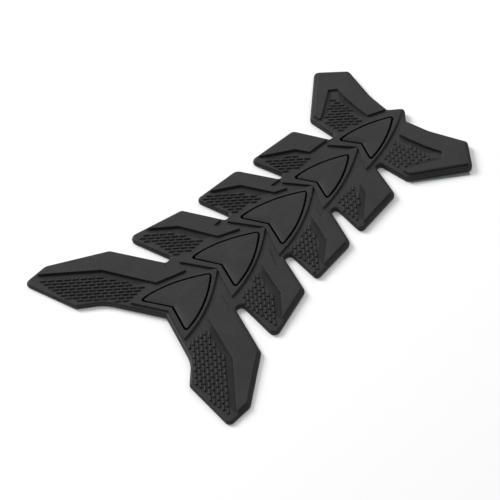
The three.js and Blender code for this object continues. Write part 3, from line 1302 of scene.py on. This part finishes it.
@dataclass
class Studio:
    """White floor, soft lamps and the camera of the photograph."""

    eye: Plan = (-0.66145, -0.55650)
    eye_height: float = 0.95906
    turn: float = 49.1826
    dip: float = 48.4854
    lens: float = 182.304
    sensor: float = 36.0
    floor_size: float = 12.0
    lamps: Sequence[tuple[str, tuple[float, float, float], float, float]] = field(
        default_factory=lambda: (
            ("side", (-0.22, 1.60, 1.20), 0.9, 36.0),
            ("back", (1.15, 0.75, 1.45), 1.35, 7.0),
        )
    )
    sky: float = 0.50

    def camera(self) -> None:
        """Sets the camera where the photograph was taken from."""
        data = bpy.data.cameras.new("photo_camera")
        data.sensor_width = self.sensor
        data.lens = self.lens
        data.clip_end = 20.0
        camera = bpy.data.objects.new("photo_camera", data)
        bpy.context.collection.objects.link(camera)
        turn, dip = math.radians(self.turn), math.radians(self.dip)
        right = Vector((math.cos(turn), -math.sin(turn), 0))
        ahead = Vector(
            (math.sin(turn) * math.cos(dip), math.cos(turn) * math.cos(dip), -math.sin(dip))
        )
        up = right.cross(ahead)
        basis = Matrix((right, up, -ahead)).transposed().to_4x4()
        camera.matrix_world = Matrix.Translation((*self.eye, self.eye_height)) @ basis
        bpy.context.scene.camera = camera

    def light(self) -> None:
        """Adds the lamps and the even light of the room."""
        for name, place, size, power in self.lamps:
            data = bpy.data.lights.new(name, "AREA")
            data.shape = "DISK"
            data.size = size
            data.energy = power
            lamp = bpy.data.objects.new(name, data)
            lamp.location = place
            lamp.rotation_euler = (-Vector(place)).to_track_quat("-Z", "Y").to_euler()
            bpy.context.collection.objects.link(lamp)
        world = bpy.data.worlds.new("room")
        world.use_nodes = True
        tree = world.node_tree
        sky = tree.nodes["Background"]
        rays = tree.nodes.new("ShaderNodeLightPath")
        swap = tree.nodes.new("ShaderNodeMix")
        swap.inputs[2].default_value = self.sky
        swap.inputs[3].default_value = 1.0
        tree.links.new(rays.outputs["Is Camera Ray"], swap.inputs[0])
        tree.links.new(swap.outputs[0], sky.inputs["Strength"])
        sky.inputs["Color"].default_value = (1, 1, 1, 1)
        bpy.context.scene.world = world

    def floor(self) -> None:
        """Lays the floor under the liner."""
        bpy.ops.object.select_all(action="DESELECT")
        bpy.ops.mesh.primitive_plane_add(size=self.floor_size)
        floor = name_added("studio_floor")
        floor.data.materials.append(FloorFinish().material())

    def build(self) -> None:
        """Builds the whole studio."""
        self.camera()
        self.light()
        self.floor()
        bpy.context.scene.view_settings.view_transform = "Standard"


LUGS = (
    ScaleLug("lug_tail", (-81.9, 15.0), -74.9, -46.0),
    ScaleLug("lug_rib_a", (-44.6, 14.6), -38.2, -9.2),
    ScaleLug("lug_rib_b", (-8.1, 14.2), -1.8, 28.3),
    ScaleLug("lug_rib_c", (31.2, 11.0), 36.3, 62.5),
    ScaleLug("lug_head", (67.2, 10.6), 72.8, 99.0),
)

FIELDS = (
    GripField(
        "grip_tail",
        (-102.7, 46.3),
        (
            (-107, 65), (-105.3, 50.5), (-102.4, 40), (-95.5, 35.6), (-90, 28.5),
            (-86.5, 20.8), (-73.7, 19.6), (-79, 31), (-83.2, 40.7), (-91.4, 50),
            (-98, 56.6), (-105, 63.4),
        ),
        ((0.75, -0.6), (-0.45, 0.2)),
        (
            (-105.6, 65), (-105.2, 50), (-104.2, 44), (-102.8, 38.6), (-98.8, 36.4),
            (-95.6, 33), (-92.6, 29.6), (-90.4, 26), (-88.4, 19.6), (-73, 19.2),
            (-77.8, 31.5), (-81.8, 41.3), (-90.2, 50.6), (-98, 56.8), (-104.6, 64),
        ),
    ),
    GripField(
        "grip_rib_a",
        (-46.7, 36.25),
        (
            (-51.4, 47), (-49.6, 36), (-49.2, 27), (-50.4, 21.2), (-38, 18.6),
            (-29.2, 16), (-32, 21.5), (-34.3, 28), (-36, 32.7), (-42, 38.6), (-48, 44.6),
        ),
        ((1.2, -0.45), (-0.15, 0.3)),
    ),
    GripField(
        "grip_rib_b",
        (-4.9, 28.8),
        (
            (-9, 38.4), (-8.2, 28), (-7.9, 19), (2, 17.2), (12.2, 14.4), (9.7, 19.5),
            (7.2, 25.7), (2.6, 29.3), (-2.4, 33.4), (-7.4, 38.3),
        ),
        ((0.47, 0.75), (-0.45, 0.5)),
        (
            (-10.3, 38.6), (-9.5, 29.6), (-7.9, 29.0), (-7.9, 18.8), (2, 16.8), (12.2, 14),
            (9.7, 19.5), (7.2, 25.7), (2.6, 29.3), (-2.4, 33.4), (-7.4, 38.3),
        ),
    ),
    GripField(
        "grip_rib_c",
        (33.8, 22.7),
        (
            (30.8, 31), (31.4, 23), (32.3, 15.9), (38, 14.8), (49.2, 12.2), (46.8, 17.5),
            (45, 21.7), (41.2, 24.3), (36.6, 27.4), (32.8, 31),
        ),
        ((0.3, -0.1), (-0.45, 0.4)),
    ),
    GripField(
        "grip_head",
        (75.5, 23.5),
        (
            (71, 25), (79, 29.2), (86, 32.8), (91, 33.6), (90.6, 27), (89.4, 20),
            (88.4, 11.2), (80, 12.7), (71, 14.3),
        ),
        ((0.0, -1.05), (0.0, 1.25)),
        (
            (71, 24.6), (79, 28.6), (86, 32.2), (90.4, 34.6), (90.8, 31), (89.6, 25),
            (88.6, 17), (88.0, 10.6), (80, 12.3), (71, 14.1),
        ),
        relief=0.85,
    ),
)

HOLLOWS = (
    FinHollow("hollow_tail", ((-102.2, 66.0), (-79.6, 43.8), (-70.4, 22.0))),
    FinHollow("hollow_rib_a", ((-44.4, 45.6), (-32.6, 34.3), (-26.0, 17.3))),
    FinHollow("hollow_rib_b", ((-3.0, 37.6), (9.4, 29.1), (15.6, 15.0))),
    FinHollow("hollow_rib_c", ((33.2, 33.9), (47.3, 24.0), (50.4, 17.5))),
    FinHollow("hollow_head", ((74.2, 28.54), (91.9, 38.5)), width=3.0),
    FinHollow(
        "hollow_head_front", ((95.0, 33.0), (93.4, 27), (91.8, 18), (91.0, 11.2)), width=3.2
    ),
)


def main() -> None:
    logging.basicConfig(level=logging.INFO, format="%(message)s")
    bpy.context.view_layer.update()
    rubber = RubberFinish().material()
    brick = GripBrick()
    moulding = RubberMoulding()
    body = finish_piece(moulding.build(FIELDS, brick, LUGS, HOLLOWS), rubber)
    # Painted shade in the grooves round the lugs.
    groove_shade = GROOVE_PAINTED_SHADE.material()
    rims = [lug.groove_rim() for lug in LUGS]
    found = dress_faces(body, groove_shade, lambda face: moulding.in_groove(face, rims))
    LOG.info("%d faces of grooves dressed", found)
    # Painted shade in the hollows at the feet of the tiers.
    low = HOLLOW_PAINTED_SHADE.material()
    outlines = [hollow.outline() for hollow in HOLLOWS]
    found = dress_faces(body, low, lambda face: moulding.in_hollow(body, face, outlines))
    LOG.info("%d faces of hollows dressed", found)
    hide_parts(moulding.node)
    LOG.info("%s: %d faces", body.name, len(body.data.polygons))
    pattern = brick.model()
    for patch in FIELDS:
        for side in Side:
            piece = finish_piece(patch.build(pattern, side), rubber, 60.0)
            LOG.info("%s: %d faces", piece.name, len(piece.data.polygons))
    bpy.data.objects.remove(pattern)
    for lug in LUGS:
        piece = finish_piece(lug.build(), rubber, 50.0)
        # Painted shade on the lugs' steep side walls, which face into the grooves.
        dress_faces(piece, groove_shade, lambda face: abs(face.normal.z) < STEEP)
        LOG.info("%s: %d faces", piece.name, len(piece.data.polygons))
    BackLayers().dress()
    Studio().build()


if __name__ == "__main__":
    main()
